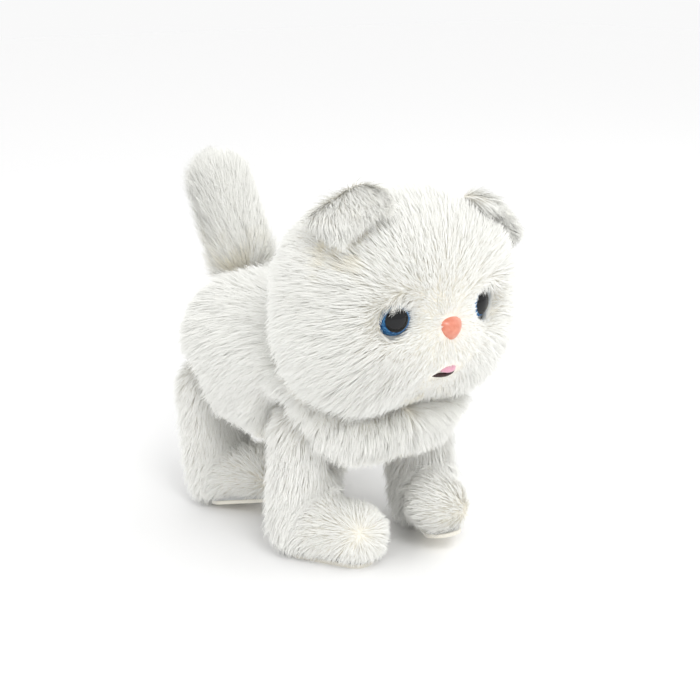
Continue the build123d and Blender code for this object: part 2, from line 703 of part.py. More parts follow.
# ---- tail and body ------------------------------------------------------------------------
def along_tail(distance):
    """The point that far up the tail from its pin."""
    lean = radians(tail_lean)
    return (0, tail_y + distance * sin(lean), tail_z + distance * cos(lean))


def build_tail():
    """A stiff core on a pin along Y, and its stuffed plush."""
    stand = (Align.CENTER, Align.CENTER, Align.MIN)
    core = Pos(0, 73.2, tail_z) * Rot(90, 0, 0) * Cylinder(4.5, 4.4, align=stand)
    core += block((-2.5, 2.5), (68.8, 73.2), (tail_z, tail_z + 7))
    core += capsule((0, tail_y, tail_z + 7), along_tail(14), 2.5)
    rod_run = Vector(*along_tail(1)) - Vector(*along_tail(0))
    core += extrude(Plane(origin=along_tail(14), z_dir=rod_run) * Circle(2.5),
                    amount=tail_reach - 22)
    core -= Pos(0, 80, tail_z) * Rot(90, 0, 0) * Cylinder(shaft_radius + axle_fit, 20, align=stand)
    save("tail_core", core)
    save("tail_pin", Pos(0, 76.5, tail_z) * Rot(90, 0, 0) * Cylinder(shaft_radius, 11, align=stand))
    plush = capsule(along_tail(28), along_tail(tail_reach), tail_radius)
    space = Plane(origin=along_tail(0), z_dir=rod_run) * Circle(2.6)
    save("tail_plush", plush - extrude(space, amount=tail_reach - 6.8))


def build_body_plush():
    """The stuffed loaf round the case, with room for the legs, neck, tail and belly panel."""
    body = block((-body_half_width, body_half_width), (body_front_y, body_rear_y),
                 (body_bottom, body_top))
    body = fillet(body.edges(), body_round)
    body -= chassis_solid(0.3)
    body -= block((-15, 15), (-40, -6), (deck_height - 1, body_top + 1))
    head_space = head_form(1.2)
    for angle in (-nod_angle, 0, nod_angle):
        body -= swing(head_space, angle, neck_y, neck_z)
    for side in (-1, 1):
        for hip_y in (front_hip_y, rear_hip_y):
            arch = cross_rod(chassis_half_width, 60, hip_y, hip_height, leg_radius + 3.9)
            arch += block((18, 60), (hip_y - 25, hip_y + 19.4), (40, hip_height))
            body -= mirrored(arch, side)
    body -= block((-22.5, 22.5), (-10, 96), (40, chassis_bottom + 1))
    tail_space = capsule(along_tail(25), along_tail(tail_reach), tail_radius + 1.2)
    for step in range(-2, 3):
        turn = step * wag_angle / 2
        body -= tail_space.rotate(Axis((0, tail_y, tail_z), (0, 1, 0)), turn)
    body -= block((-11, 11), (64, 96), (tail_deck_height - 1, body_top + 1))
    save("body_plush", body)


if __name__ == "__main__":
    os.makedirs("parts", exist_ok=True)
    build_gear_train()
    build_crankshafts()
    build_gearbox()
    build_motor()
    build_case()
    build_power()
    build_electronics()
    build_hips()
    build_legs()
    build_head()
    build_neck()
    build_tail()
    build_body_plush()
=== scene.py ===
"""Walking plush kitten: the sewn and stuffed skins, the long pile, the face, the moulded case and the studio.

Lengths are in metres unless a name ends in _mm. The kitten faces -Y, its own left side is +X and the
floor is z = 0.
"""
import math

import bmesh
import bpy
import numpy as np
from bpy.props import FloatProperty, FloatVectorProperty, IntProperty, StringProperty
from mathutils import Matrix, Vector


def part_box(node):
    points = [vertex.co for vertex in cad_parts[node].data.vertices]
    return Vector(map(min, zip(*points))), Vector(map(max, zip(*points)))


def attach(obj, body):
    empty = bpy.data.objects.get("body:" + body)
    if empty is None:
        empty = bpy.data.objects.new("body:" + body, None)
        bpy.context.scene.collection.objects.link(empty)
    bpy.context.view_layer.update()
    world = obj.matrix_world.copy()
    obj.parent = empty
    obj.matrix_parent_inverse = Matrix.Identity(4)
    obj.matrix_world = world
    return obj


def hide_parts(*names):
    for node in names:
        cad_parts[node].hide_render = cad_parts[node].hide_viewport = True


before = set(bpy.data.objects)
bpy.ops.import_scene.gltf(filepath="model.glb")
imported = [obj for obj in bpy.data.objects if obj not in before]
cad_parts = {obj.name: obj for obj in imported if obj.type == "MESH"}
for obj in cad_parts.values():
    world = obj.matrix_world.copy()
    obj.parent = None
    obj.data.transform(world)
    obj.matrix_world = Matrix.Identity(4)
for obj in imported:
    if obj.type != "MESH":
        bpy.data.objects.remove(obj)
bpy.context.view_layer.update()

bl_info = {
    "name": "Plush Kitten",
    "version": (1, 0, 0),
    "blender": (4, 5, 0),
    "location": "3D View > Sidebar > Kitten",
    "description": "Makes the skins, pile, face and finishes of a walking plush kitten around its CAD frame",
    "category": "Object",
}

MM = 0.001


# ---------------------------------------------------------------- measures taken from the frame

def middle(node):
    """Centre of a CAD node's box."""
    low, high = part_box(node)
    return (Vector(low) + Vector(high)) / 2


NOSE = middle("nose")
HEAD = middle("head_plush")
EYES = {side: middle(f"eye_{side}") for side in ("right", "left")}
EYE_RADIUS = (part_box("eye_right")[1][2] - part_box("eye_right")[0][2]) / 2
MOUTH = middle("mouth_lip")
MOUTH_GAP = np.array((MOUTH.x, MOUTH.y - 0.003, MOUTH.z + 0.0025))
# What a skin stores for its pile, and what each tuft and lock of it stores in turn.
SKIN_FIELDS = {"comb": "FLOAT_VECTOR", "pile": "FLOAT", "lift": "FLOAT", "tint": "FLOAT", "cover": "FLOAT",
               "open": "FLOAT_VECTOR"}
TUFT_FIELDS = {"foot": "FLOAT_VECTOR", "root": "FLOAT_VECTOR", "tip": "FLOAT_VECTOR", "pull": "FLOAT_VECTOR",
               "side": "FLOAT_VECTOR", "facing": "FLOAT_VECTOR", "tone": "FLOAT"}
LOCK_FIELDS = {"lock_tip": "FLOAT_VECTOR", "lock_tone": "FLOAT"}
STRIP_FIELDS = {"across": "FLOAT", "along": "FLOAT"}
PILE_INPUTS = {"Geometry": "Geometry", "Tufts per area": "Float", "Locks per area": "Float",
               "Fibre width": "Float", "Lock pull": "Float", "Floor height": "Float", "Segments": "Int",
               "Seed": "Int", "Lock seed": "Int", "Material": "Material"}
MATHS, VECTORS, RAMP, MIX = "ShaderNodeMath", "ShaderNodeVectorMath", "ShaderNodeValToRGB", "ShaderNodeMix"
BLACK, WHITE = (0, 0, 0, 1), (1, 1, 1, 1)
LEGS = [f"{end}_{side}" for end in ("front", "rear") for side in ("right", "left")]


# ---------------------------------------------------------------- settings a user would change

class KittenPileSettings(bpy.types.PropertyGroup):
    """Sizes of the long pile."""

    body_pile: FloatProperty(
        name="Body pile", description="Length of the pile on the body and the chest", default=0.0140,
        min=0.002, max=0.03, subtype="DISTANCE", unit="LENGTH")
    head_pile: FloatProperty(
        name="Head pile", description="Length of the pile on the cheeks", default=0.0135,
        min=0.002, max=0.03, subtype="DISTANCE", unit="LENGTH")
    leg_pile: FloatProperty(
        name="Leg pile", description="Length of the pile on the legs", default=0.0110,
        min=0.002, max=0.03, subtype="DISTANCE", unit="LENGTH")
    tail_pile: FloatProperty(
        name="Tail pile", description="Length of the pile on the tail", default=0.0150,
        min=0.002, max=0.03, subtype="DISTANCE", unit="LENGTH")
    ear_pile: FloatProperty(
        name="Ear pile", description="Length of the pile on the ears", default=0.0100,
        min=0.002, max=0.03, subtype="DISTANCE", unit="LENGTH")
    fibre_width: FloatProperty(
        name="Fibre width", description="Width of one drawn tuft of fibres at its root", default=0.00036,
        min=0.0001, max=0.003, subtype="DISTANCE", unit="LENGTH")
    lock_spacing: FloatProperty(
        name="Lock spacing", description="Mean distance between the points that the pile gathers to",
        default=0.0036, min=0.001, max=0.02, subtype="DISTANCE", unit="LENGTH")
    lock_pull: FloatProperty(
        name="Lock pull", description="How far tips draw in to the tip of their lock", default=0.24,
        min=0.0, max=1.0, subtype="FACTOR")
    seed: IntProperty(name="Seed", description="Start of the random draws for the pile", default=11, min=0)


class KittenFaceSettings(bpy.types.PropertyGroup):
    """Colours of the face."""

    iris: StringProperty(name="Iris", description="sRGB hex colour of the iris", default="#3F86BF")
    nose: StringProperty(name="Nose", description="sRGB hex colour of the vinyl nose", default="#E0947C")
    tongue: StringProperty(name="Tongue", description="sRGB hex colour of the tongue", default="#E6AFC0")
    lip: StringProperty(name="Lip", description="sRGB hex colour of the lip", default="#3B211D")
    pupil_share: FloatProperty(
        name="Pupil share", description="Pupil radius as a share of the eye's radius", default=0.60,
        min=0.1, max=0.9, subtype="FACTOR")


class KittenPlushSettings(bpy.types.PropertyGroup):
    """Colours of the pile and how the skins are stuffed."""

    pile: StringProperty(name="Pile", description="sRGB hex colour of the pile", default="#FBFBF7")
    # Painted shade: the pile's root colour stands in for the shade of the pile over its roots; the backing
    # cloth takes it as its own colour.
    root: StringProperty(
        name="Pile root", description="sRGB hex colour of the pile at its root", default="#F2EEE2")
    shade: StringProperty(
        # Painted shade: the pile's colour where shade falls in folds.
        name="Pile in folds", description="sRGB hex colour of the pile in folds", default="#F3E7C2")
    voxel: FloatProperty(
        name="Skin cell", description="Cell of the remeshed skin", default=0.004,
        min=0.002, max=0.01, subtype="DISTANCE", unit="LENGTH")
    puff: FloatProperty(
        name="Puff", description="Furthest that the stuffing swells a skin", default=0.0022,
        min=0.0, max=0.01, subtype="DISTANCE", unit="LENGTH")
    fill: FloatProperty(
        name="Fill", description="How full the stuffing is", default=0.7, min=0, max=1, subtype="FACTOR")


class KittenStageSettings(bpy.types.PropertyGroup):
    """The floor, lamps and camera."""

    floor: StringProperty(name="Floor", description="sRGB hex colour of the floor", default="#FFFFFF")
    floor_size: FloatProperty(
        name="Floor size", description="Side of the square floor", default=8.0, min=1,
        subtype="DISTANCE", unit="LENGTH")
    azimuth: FloatProperty(
        name="Azimuth", description="Camera's turn round the kitten, 0 in front of it",
        default=math.radians(-36.8), subtype="ANGLE", unit="ROTATION")
    elevation: FloatProperty(
        name="Elevation", description="Camera's height above the horizon", default=math.radians(16.6),
        subtype="ANGLE", unit="ROTATION")
    distance: FloatProperty(
        name="Distance", description="Camera's distance from its aim point", default=0.65,
        min=0.1, subtype="DISTANCE", unit="LENGTH")
    aim: FloatVectorProperty(
        name="Aim", description="Point that the camera looks at", default=(0.0, -0.0092, 0.092),
        subtype="TRANSLATION", unit="LENGTH")
    lens: FloatProperty(name="Lens", description="Focal length in millimetres", default=66.86, min=10)
    shift_x: FloatProperty(name="Shift across", description="Sideways shift of the lens", default=0.0319)
    shift_y: FloatProperty(name="Shift up", description="Upward shift of the lens", default=-0.0076)


# ---------------------------------------------------------------- nodes and colours

def linear(hex_text):
    """Linear RGBA of an sRGB hex colour."""
    parts = [int(hex_text[i:i + 2], 16) / 255 for i in (1, 3, 5)]
    return tuple(c / 12.92 if c <= 0.04045 else ((c + 0.055) / 1.055) ** 2.4 for c in parts) + (1.0,)


def add(tree, kind, settings=None, **sockets):
    """Adds a node with its settings: a dictionary, where stops are a colour ramp's, or the operation's name.
    Each socket, by name or as in_0, gets a value, or a link from a socket or from a node's first output."""
    made = tree.nodes.new(kind)
    settings = {"operation": settings} if isinstance(settings, str) else dict(settings or {})
    stops = settings.pop("stops", ())
    while stops and len(made.color_ramp.elements) < len(stops):
        made.color_ramp.elements.new(0.5)
    for count, (position, tint) in enumerate(stops):
        made.color_ramp.elements[count].position = position
        made.color_ramp.elements[count].color = tint
    for name, value in settings.items():
        setattr(made, name, value)
    for name, value in sockets.items():
        target = made.inputs[int(name[3:]) if name.startswith("in_") else name.replace("_", " ")]
        value = value.outputs[0] if isinstance(value, bpy.types.Node) else value
        if isinstance(value, bpy.types.NodeSocket):
            tree.links.new(value, target)
        else:
            target.default_value = value
    return made


def surface(name, **values):
    """A material with one Principled surface. Returns the material, its tree and the surface node."""
    made = bpy.data.materials.new(name)
    made.use_nodes = True
    tree = made.node_tree
    tree.nodes.clear()
    skin = add(tree, "ShaderNodeBsdfPrincipled", **values)
    add(tree, "ShaderNodeOutputMaterial", Surface=skin.outputs["BSDF"])
    return made, tree, skin


def grain(tree, skin, size_mm, height_mm, dark, light):
    """Fine mottling of a moulded or cut face: colour between dark and light, and a bump of the same grain."""
    place = add(tree, "ShaderNodeTexCoord").outputs["Object"]
    noise = add(tree, "ShaderNodeTexNoise", Vector=place, Scale=1 / (size_mm * MM), Detail=3.0, Roughness=0.5)
    mottle = add(tree, RAMP, {"stops": [(0.3, linear(dark)), (0.7, linear(light))]}, Fac=noise)
    tree.links.new(mottle.outputs["Color"], skin.inputs["Base Color"])
    bump = add(tree, "ShaderNodeBump", Strength=0.6, Distance=height_mm * MM, Height=noise)
    tree.links.new(bump.outputs["Normal"], skin.inputs["Normal"])


# ---------------------------------------------------------------- finishes

def acrylic_pile(pile, root, shade):
    """Acrylic faux fur: soft semi-matt fibres, white at the tips, with painted shade making them creamier at
    the roots and in folds.
    The map's U is how much painted fold shade a tuft carries, with its random tone, and its V runs from root
    to tip."""
    made, tree, skin = surface("Acrylic faux fur pile", Roughness=0.62, Specular_IOR_Level=0.25,
                               Sheen_Weight=0.35, Sheen_Roughness=0.45)
    parts = add(tree, "ShaderNodeSeparateXYZ", in_0=add(tree, "ShaderNodeUVMap", {"uv_map": "OFBake"}))
    # Painted shade: each ribbon is painted darker and creamier towards its root, where the pile shades
    # itself.
    along = add(tree, RAMP, {"stops": [(0.0, linear(root)), (0.45, linear(pile))]}, Fac=parts.outputs["Y"])
    # Painted shade: tufts deep in a fold are painted cream, where shade falls; the random tone of a lock
    # shifts this a little.
    fold = add(tree, RAMP, {"stops": [(0.35, BLACK), (0.95, WHITE)]}, Fac=parts.outputs["X"])
    mixed = add(tree, MIX, {"data_type": "RGBA"}, in_0=fold, in_6=along, in_7=linear(shade))
    tree.links.new(mixed.outputs[2], skin.inputs["Base Color"])
    return made


def knitted_backing(root):
    """Knitted polyester backing of the faux fur: matt and creamy, with loops about 1.5 mm apart."""
    made, tree, skin = surface("Knitted polyester backing", Roughness=0.9, Sheen_Weight=0.2)
    place = add(tree, "ShaderNodeTexCoord").outputs["Object"]
    loops = add(tree, "ShaderNodeTexVoronoi", Vector=place, Scale=1 / (1.5 * MM)).outputs["Distance"]
    tint = add(tree, RAMP, {"stops": [(0.1, linear("#FAF7EC")), (0.8, linear(root))]}, Fac=loops)
    tree.links.new(tint.outputs["Color"], skin.inputs["Base Color"])
    bump = add(tree, "ShaderNodeBump", Strength=0.5, Distance=0.3 * MM, Height=loops)
    tree.links.new(bump.outputs["Normal"], skin.inputs["Normal"])
    return made


def eye_dome(side, iris, pupil_share):
    """Polished acrylic safety eye: painted blue iris and black pupil under a clear, mirror-smooth dome, with
    a painted reflection paling the iris over its top.
    """
    made, tree, skin = surface(f"Polished acrylic {side} eye", Roughness=0.08, IOR=1.49,
                               Coat_Weight=0.8, Coat_Roughness=0.03, Specular_IOR_Level=0.0)
    centre = EYES[side]
    turn = math.atan2(centre.x - HEAD.x, HEAD.y - centre.y) * 0.35
    place = add(tree, "ShaderNodeMapping", {"vector_type": "TEXTURE"},
                Vector=add(tree, "ShaderNodeTexCoord").outputs["Object"],
                Location=centre, Rotation=(0, 0, turn), Scale=(EYE_RADIUS,) * 3)
    parts = add(tree, "ShaderNodeSeparateXYZ", in_0=place)
    across = add(tree, "ShaderNodeCombineXYZ", X=parts.outputs["X"], Z=parts.outputs["Z"])
    rim = add(tree, VECTORS, "LENGTH", in_0=across).outputs["Value"]
    streaks = add(tree, "ShaderNodeTexNoise", Vector=place, Scale=9.0, Detail=4.0)
    spokes = add(tree, RAMP, {"stops": [(0.35, linear("#1D4B82")), (0.6, linear(iris)),
                                        (0.8, linear("#9CCBE8"))]}, Fac=streaks)
    # Painted reflection: the iris is painted paler, to silver, over its top, standing in for the reflection
    # of a lamp above.
    painted_reflection = add(tree, RAMP, {"stops": [(0.1, BLACK), (0.7, (0.85, 0.85, 0.85, 1))]}, Fac=parts.outputs["Z"])
    spokes = add(tree, MIX, {"data_type": "RGBA"}, in_0=painted_reflection, in_6=spokes, in_7=linear("#A9B9C6"))
    ring = add(tree, RAMP, {"stops": [(0.0, BLACK), (pupil_share, BLACK), (pupil_share + 0.05, WHITE),
                                      (0.88, (0.8, 0.8, 0.8, 1)), (0.95, BLACK)]}, Fac=rim)
    mixed = add(tree, MIX, {"data_type": "RGBA"}, in_0=ring, in_6=linear("#05060A"), in_7=spokes.outputs[2])
    tree.links.new(mixed.outputs[2], skin.inputs["Base Color"])
    return made


def moulded(name, dark, light, size_mm, height_mm, **values):
    """A moulded, pressed or machined material with a fine grain."""
    made, tree, skin = surface(name, **values)
    grain(tree, skin, size_mm, height_mm, dark, light)
    return made


def finishes(face):
    """Material for each of the record's slots that keeps its CAD node."""
    return {
        # ABS is moulded against a lightly sparked tool, so it is satin with a fine orange peel.
        "case_abs": moulded("Sparked white ABS", "#E9E8E2", "#F4F3EE", 0.6, 0.03, Roughness=0.42),
        "frame_abs": moulded("Moulded grey ABS", "#C9CACA", "#D6D7D7", 0.6, 0.02, Roughness=0.38),
        # Acetal is moulded too, and is waxy and slightly see-through.
        "gear_acetal": moulded("Moulded natural acetal", "#EFEDE6", "#F8F7F2", 0.8, 0.01,
                               Roughness=0.3, Subsurface_Weight=0.05),
        # Nylon is moulded and a little duller than ABS.
        "switch_black": moulded("Moulded black nylon", "#101012", "#1B1B1E", 0.4, 0.02, Roughness=0.45),
        # Drawn, rolled and plated metals show faint stains rather than a grain.
        "pin_steel": moulded("Zinc plated steel", "#B9BBBD", "#D0D2D3", 1.2, 0.005,
                             Metallic=1.0, Roughness=0.28),
        "spring_steel": moulded("Nickel plated spring steel", "#C2BFB8", "#D8D5CE", 1.0, 0.005,
                                Metallic=1.0, Roughness=0.24),
        "motor_steel": moulded("Rolled motor can steel", "#A7A9AC", "#BFC1C4", 1.5, 0.006,
                               Metallic=1.0, Roughness=0.33),
        "pinion_brass": moulded("Turned brass", "#C79A45", "#DDB665", 0.5, 0.004,
                                Metallic=1.0, Roughness=0.26),
        # Solder mask over woven glass shows the weave as faint patches.
        "board_laminate": moulded("Green glass epoxy laminate", "#1F5B33", "#2B7442", 0.9, 0.01,
                                  Roughness=0.35),
        # The jacket is shrunk on hot, which leaves it smooth and glossy.
        "cell_jacket": moulded("Shrunk PVC cell jacket", "#2E4A6B", "#3D5E85", 2.0, 0.01, Roughness=0.3),
        # Pressed felt is matt, with short fibres lying every way.
        "sole_felt": moulded("Pressed wool felt", "#E2DDCF", "#F3F0E6", 0.35, 0.15,
                             Roughness=0.95, Sheen_Weight=0.4),
        "nose_vinyl": nose_vinyl(face.nose),
        # Flock over vinyl keeps the lip dark and dull.
        "mouth_vinyl": moulded("Dark flocked vinyl", "#24120F", face.lip, 0.5, 0.05, Roughness=0.5),
        # Needled felt is matt, with a bloom of loose fibres.
        "tongue_felt": moulded("Pink needle felt", "#DA9BB0", face.tongue, 0.35, 0.12,
                               Roughness=0.85, Sheen_Weight=0.5),
    }


def nose_vinyl(tint):
    """Soft moulded vinyl: saturated and slightly waxy under a satin skin."""
    made, tree, skin = surface("Satin salmon vinyl", Roughness=0.3, Subsurface_Weight=0.25,
                               Subsurface_Scale=0.002, Subsurface_Radius=(1.0, 0.45, 0.3), Coat_Weight=0.35,
                               Coat_Roughness=0.15)
    place = add(tree, "ShaderNodeTexCoord").outputs["Object"]
    noise = add(tree, "ShaderNodeTexNoise", Vector=place, Scale=1 / (2.5 * MM), Detail=2.0)
    mottle = add(tree, RAMP, {"stops": [(0.3, linear("#D67E64")), (0.7, linear(tint))]}, Fac=noise)
    tree.links.new(mottle.outputs["Color"], skin.inputs["Base Color"])
    peel = add(tree, "ShaderNodeTexNoise", Vector=place, Scale=1 / (0.5 * MM), Detail=1.0)
    bump = add(tree, "ShaderNodeBump", Strength=0.3, Distance=0.03 * MM, Height=peel)
    tree.links.new(bump.outputs["Normal"], skin.inputs["Normal"])
    return made


# ---------------------------------------------------------------- mesh helpers

def points_of(mesh):
    """Vertex places as an array of rows."""
    found = np.empty(len(mesh.vertices) * 3)
    mesh.vertices.foreach_get("co", found)
    return found.reshape(-1, 3)


def normals_of(mesh):
    """Vertex normals as an array of rows."""
    found = np.empty(len(mesh.vertices) * 3)
    mesh.vertex_normals.foreach_get("vector", found)
    return found.reshape(-1, 3)


def place_points(mesh, rows):
    mesh.vertices.foreach_set("co", np.asarray(rows, np.float32).ravel())
    mesh.update()


def new_object(name, mesh):
    made = bpy.data.objects.new(name, mesh)
    bpy.context.scene.collection.objects.link(made)
    return made


def merged_copy(node):
    """A copy of a CAD node's mesh with its loose triangles joined up."""
    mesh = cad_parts[node].data.copy()
    cleaner = bmesh.new()
    cleaner.from_mesh(mesh)
    bmesh.ops.remove_doubles(cleaner, verts=cleaner.verts, dist=0.01 * MM)
    cleaner.to_mesh(mesh)
    cleaner.free()
    mesh.materials.clear()
    return mesh


def settle(piece):
    """Puts what the modifiers make into the mesh and takes the modifiers off."""
    graph = bpy.context.evaluated_depsgraph_get()
    graph.update()
    mesh = bpy.data.meshes.new_from_object(piece.evaluated_get(graph))
    piece.modifiers.clear()
    piece.data = mesh


def unit(rows):
    """Rows scaled to length one."""
    return rows / np.maximum(np.linalg.norm(rows, axis=1, keepdims=True), 1e-9)


def fade(values, start, end):
    """Smooth 0 to 1 as values go from start to end."""
    share = np.clip((values - start) / (end - start), 0, 1)
    return share * share * (3 - 2 * share)


def away_from(rows, point):
    return np.linalg.norm(rows - np.asarray(point), axis=1)


# ---------------------------------------------------------------- nose and mouth

def rounded_piece(name, shape):
    """A closed round piece: a unit ball with each of its points moved by shape."""
    shaper = bmesh.new()
    bmesh.ops.create_icosphere(shaper, subdivisions=4, radius=1.0)
    for vertex in shaper.verts:
        vertex.co = shape(*vertex.co)
    mesh = bpy.data.meshes.new(name)
    shaper.to_mesh(mesh)
    shaper.free()
    return new_object(name, mesh)


def nose_button(x, y, z):
    """The nose: a domed button, broad at the top and narrow below."""
    low, high = (Vector(corner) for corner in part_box("nose"))
    half = (high - low) / 2
    taper = 0.74 + 0.26 * z
    return NOSE + Vector((half.x * 1.35 * x * taper, half.y * y - 0.0006, half.z * 1.08 * z))


def lip_rim():
    """The lower lip: a thin bead, curved round the mouth, with its ends drawn up and out thin."""
    half_width, thickness, steps = 0.0090, 0.0010, 12
    path = bpy.data.curves.new("lip path", "CURVE")
    path.dimensions = "3D"
    path.bevel_depth = thickness
    path.bevel_resolution = 3
    path.use_fill_caps = True
    line = path.splines.new("NURBS")
    line.points.add(steps)
    for count, point in enumerate(line.points):
        share = 2 * count / steps - 1
        point.co = (MOUTH.x + share * half_width, MOUTH.y - 0.0058 + 0.0036 * share ** 2,
                    MOUTH.z - 0.0005 + 0.0012 * share ** 2, 1)
        point.radius = 1 - 0.6 * share ** 4
    line.order_u = 3
    line.use_endpoint_u = True
    maker = new_object("lip maker", path)
    graph = bpy.context.evaluated_depsgraph_get()
    graph.update()
    mesh = bpy.data.meshes.new_from_object(maker.evaluated_get(graph))
    bpy.data.objects.remove(maker)
    return new_object("lip", mesh)


def tongue_petal(x, y, z):
    """The tongue: a flat rounded petal with a groove down its middle, lying on the lip."""
    groove = 0.35 * math.exp(-(x / 0.22) ** 2) * max(z, 0)
    half_width, half_length, half_depth, droop = 0.0050, 0.0056, 0.0026, 0.0006
    centre = MOUTH + Vector((0.0008, -0.0040, 0.0030))
    return centre + Vector((half_width * x, half_length * y, half_depth * (z - groove) - droop * y * y))


# ---------------------------------------------------------------- stuffed skins

def stuffed_skin(name, node, settings, shape=None):
    """A sewn skin over a soft CAD node: its shape evened out, then swelled by its stuffing as cloth."""
    skin = new_object(name, merged_copy(node))
    cells = skin.modifiers.new("Even cells", "REMESH")
    cells.mode = "VOXEL"
    cells.voxel_size = settings.voxel
    even = skin.modifiers.new("Even out", "SMOOTH")
    even.iterations = 6
    even.factor = 0.5
    settle(skin)
    if shape:
        place_points(skin.data, shape(points_of(skin.data)))
    stuff(skin, settings.puff)
    soften = skin.modifiers.new("Soften", "SUBSURF")
    soften.levels = soften.render_levels = 1
    settle(skin)
    for face in skin.data.polygons:
        face.use_smooth = True
    return skin


def stuff(skin, cap):
    """Swells the skin under inner pressure and lets no point move further than cap."""
    last_frame, pressure, steps_per_frame = 20, 4.0, 5
    start = points_of(skin.data)
    cloth = skin.modifiers.new("Stuffing", "CLOTH")
    cloth.settings.use_pressure = True
    cloth.settings.uniform_pressure_force = pressure
    cloth.settings.effector_weights.gravity = 0.0
    cloth.settings.quality = steps_per_frame
    cloth.point_cache.frame_start = 1
    cloth.point_cache.frame_end = last_frame
    scene = bpy.context.scene
    for frame_number in range(1, last_frame + 1):
        scene.frame_set(frame_number)
    settle(skin)
    scene.frame_set(1)
    moved = points_of(skin.data) - start
    far = np.linalg.norm(moved, axis=1, keepdims=True)
    moved *= np.minimum(1, cap / np.maximum(far, 1e-9))
    place_points(skin.data, start + moved)


def mark(skin, comb, pile, lift, tint, cover, open_to=None):
    """Stores on the skin how its pile lies: direction, length, lift off the skin, painted shade for its depth
    in a fold, where it grows, and which way it is open to the light, which is away from the skin unless
    given."""
    normals = normals_of(skin.data)
    comb = comb - normals * (comb * normals).sum(1, keepdims=True)
    open_to = normals if open_to is None else open_to
    for (name, kind), values in zip(SKIN_FIELDS.items(), (unit(comb), pile, lift, tint, cover, open_to)):
        layer = skin.data.attributes.new(name, kind, "POINT")
        layer.data.foreach_set("vector" if kind == "FLOAT_VECTOR" else "value",
                               np.asarray(values, np.float32).ravel())


def cover_case(rows):
    """Fills the skin out at the rear and below, where its rounding would bare the corner of the case."""
    low, high = (np.array(corner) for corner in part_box("chassis_lower"))
    margin, depth = 0.0018, 0.022
    centre = np.array((0.0, high[1] - depth, low[2] + depth))
    out = rows - centre
    behind, below = np.maximum(out[:, 1], 1e-6), np.maximum(-out[:, 2], 1e-6)
    grown = np.minimum((depth + margin) / behind, (depth + margin) / below)
    corner = (out[:, 1] > 0) & (out[:, 2] < 0) & (grown > 1)
    grown = 1 + (grown - 1) * corner * (1 - fade(np.abs(rows[:, 0]), high[0], high[0] + 0.012))
    return centre + out * np.stack((np.ones(len(rows)), grown, grown), axis=1)


# Each ear's way of falling, how much longer and wider it is made, as shares, and how it is moved.
EARS = {"right": ((-0.35, -0.8, -0.5), 0.30, 0.45, (-0.001, -0.003, 0.005)),
        "left": ((0.85, -0.35, -0.45), 0.20, 1.10, (-0.001, -0.008, -0.003))}


def ear_stretch(side, fall, longer_by, wider_by, shift):
    """Makes an ear longer along the way that it falls and wider across it, and moves it on the head."""
    way = np.array(fall) / np.linalg.norm(fall)
    centre = np.array(middle(f"ear_{side}"))
    off = unit(np.array([centre - HEAD]))[0]
    broad = unit(np.cross(way, off)[None])[0]

    def shape(rows):
        run = rows @ way
        longer = np.outer((run - run.min()) * longer_by, way)
        wider = np.outer((rows - centre) @ broad * wider_by, broad)
        return rows + longer + wider + np.array(shift)

    return shape


def close_sockets(rows):
    """Draws the skin round each eye in until its edge rests on the dome."""
    reach, gap = EYE_RADIUS + 0.006, 0.0002
    for eye in EYES.values():
        out = rows - np.array(eye)
        far = np.linalg.norm(out, axis=1)
        near = (far < reach) & (out[:, 1] < 0.002)
        start = far[near].min()
        drawn = EYE_RADIUS + gap + (far - start) / (reach - start) * (reach - EYE_RADIUS - gap)
        rows = np.where(near[:, None], np.array(eye) + out * (drawn / far)[:, None], rows)
    return rows


# ---------------------------------------------------------------- pile

ROOT_RAISE, TIP_RAISE = 1.6, 0.5      # how far a fibre stands off at its root and tip, as shares of its lift
TIP_FALL = 0.12                       # how far its weight draws the tip down, as a share of its length
LOCK_STRAY, TUFT_STRAY = 0.42, 0.30   # how far locks and single tufts stray from the way they are combed
SHORTEST, LONGEST = 0.60, 1.12        # lengths of tufts, as shares of the pile
TAPER = 0.88                          # share of its width that a ribbon loses by its tip
MAP_WIDTH = 0.003                     # width of a ribbon in its map


def lean(tree, kept, place, normal, stray, seed, length):
    """Root and tip directions of a fibre, each as long as the fibre, from the way the pile is combed, with
    the place of its end and its draw of chance."""
    chance = add(tree, "FunctionNodeRandomValue", {"data_type": "FLOAT_VECTOR"},
                 Min=(-1, -1, -1), Max=(1, 1, 1), Seed=seed)
    strayed = add(tree, VECTORS, "SCALE", in_0=chance, Scale=stray)
    comb = add(tree, VECTORS, "ADD", in_0=kept["comb"], in_1=strayed)
    raised = add(tree, VECTORS, "SCALE", in_0=normal, Scale=kept["lift"])
    fallen = add(tree, VECTORS, "ADD", in_0=add(tree, VECTORS, "SCALE", in_0=raised, Scale=TIP_RAISE),
                 in_1=(0.0, 0.0, -TIP_FALL))
    root, tip = (add(tree, VECTORS, "SCALE", Scale=length, in_0=add(
        tree, VECTORS, "NORMALIZE", in_0=add(tree, VECTORS, "ADD", in_0=comb, in_1=way)))
        for way in (add(tree, VECTORS, "SCALE", in_0=raised, Scale=ROOT_RAISE), fallen))
    half = add(tree, VECTORS, "SCALE", in_0=add(tree, VECTORS, "ADD", in_0=root, in_1=tip), Scale=0.5)
    return root, tip, add(tree, VECTORS, "ADD", in_0=place, in_1=half), chance


def sown(tree, given, kept, density, seed):
    """Points strewn on the covered part of a skin, so many to the area."""
    covered = add(tree, MATHS, "MULTIPLY", in_0=given[density], in_1=kept["cover"])
    return add(tree, "GeometryNodeDistributePointsOnFaces",
               Mesh=given["Geometry"], Density=covered, Seed=seed)


def keep(tree, geometry, kinds, values):
    """Stores the values on the geometry's points, each under its name."""
    for (name, kind), value in zip(kinds.items(), values):
        geometry = add(tree, "GeometryNodeStoreNamedAttribute", {"data_type": kind, "domain": "POINT"},
                       Geometry=geometry, Name=name, Value=value)
    return geometry


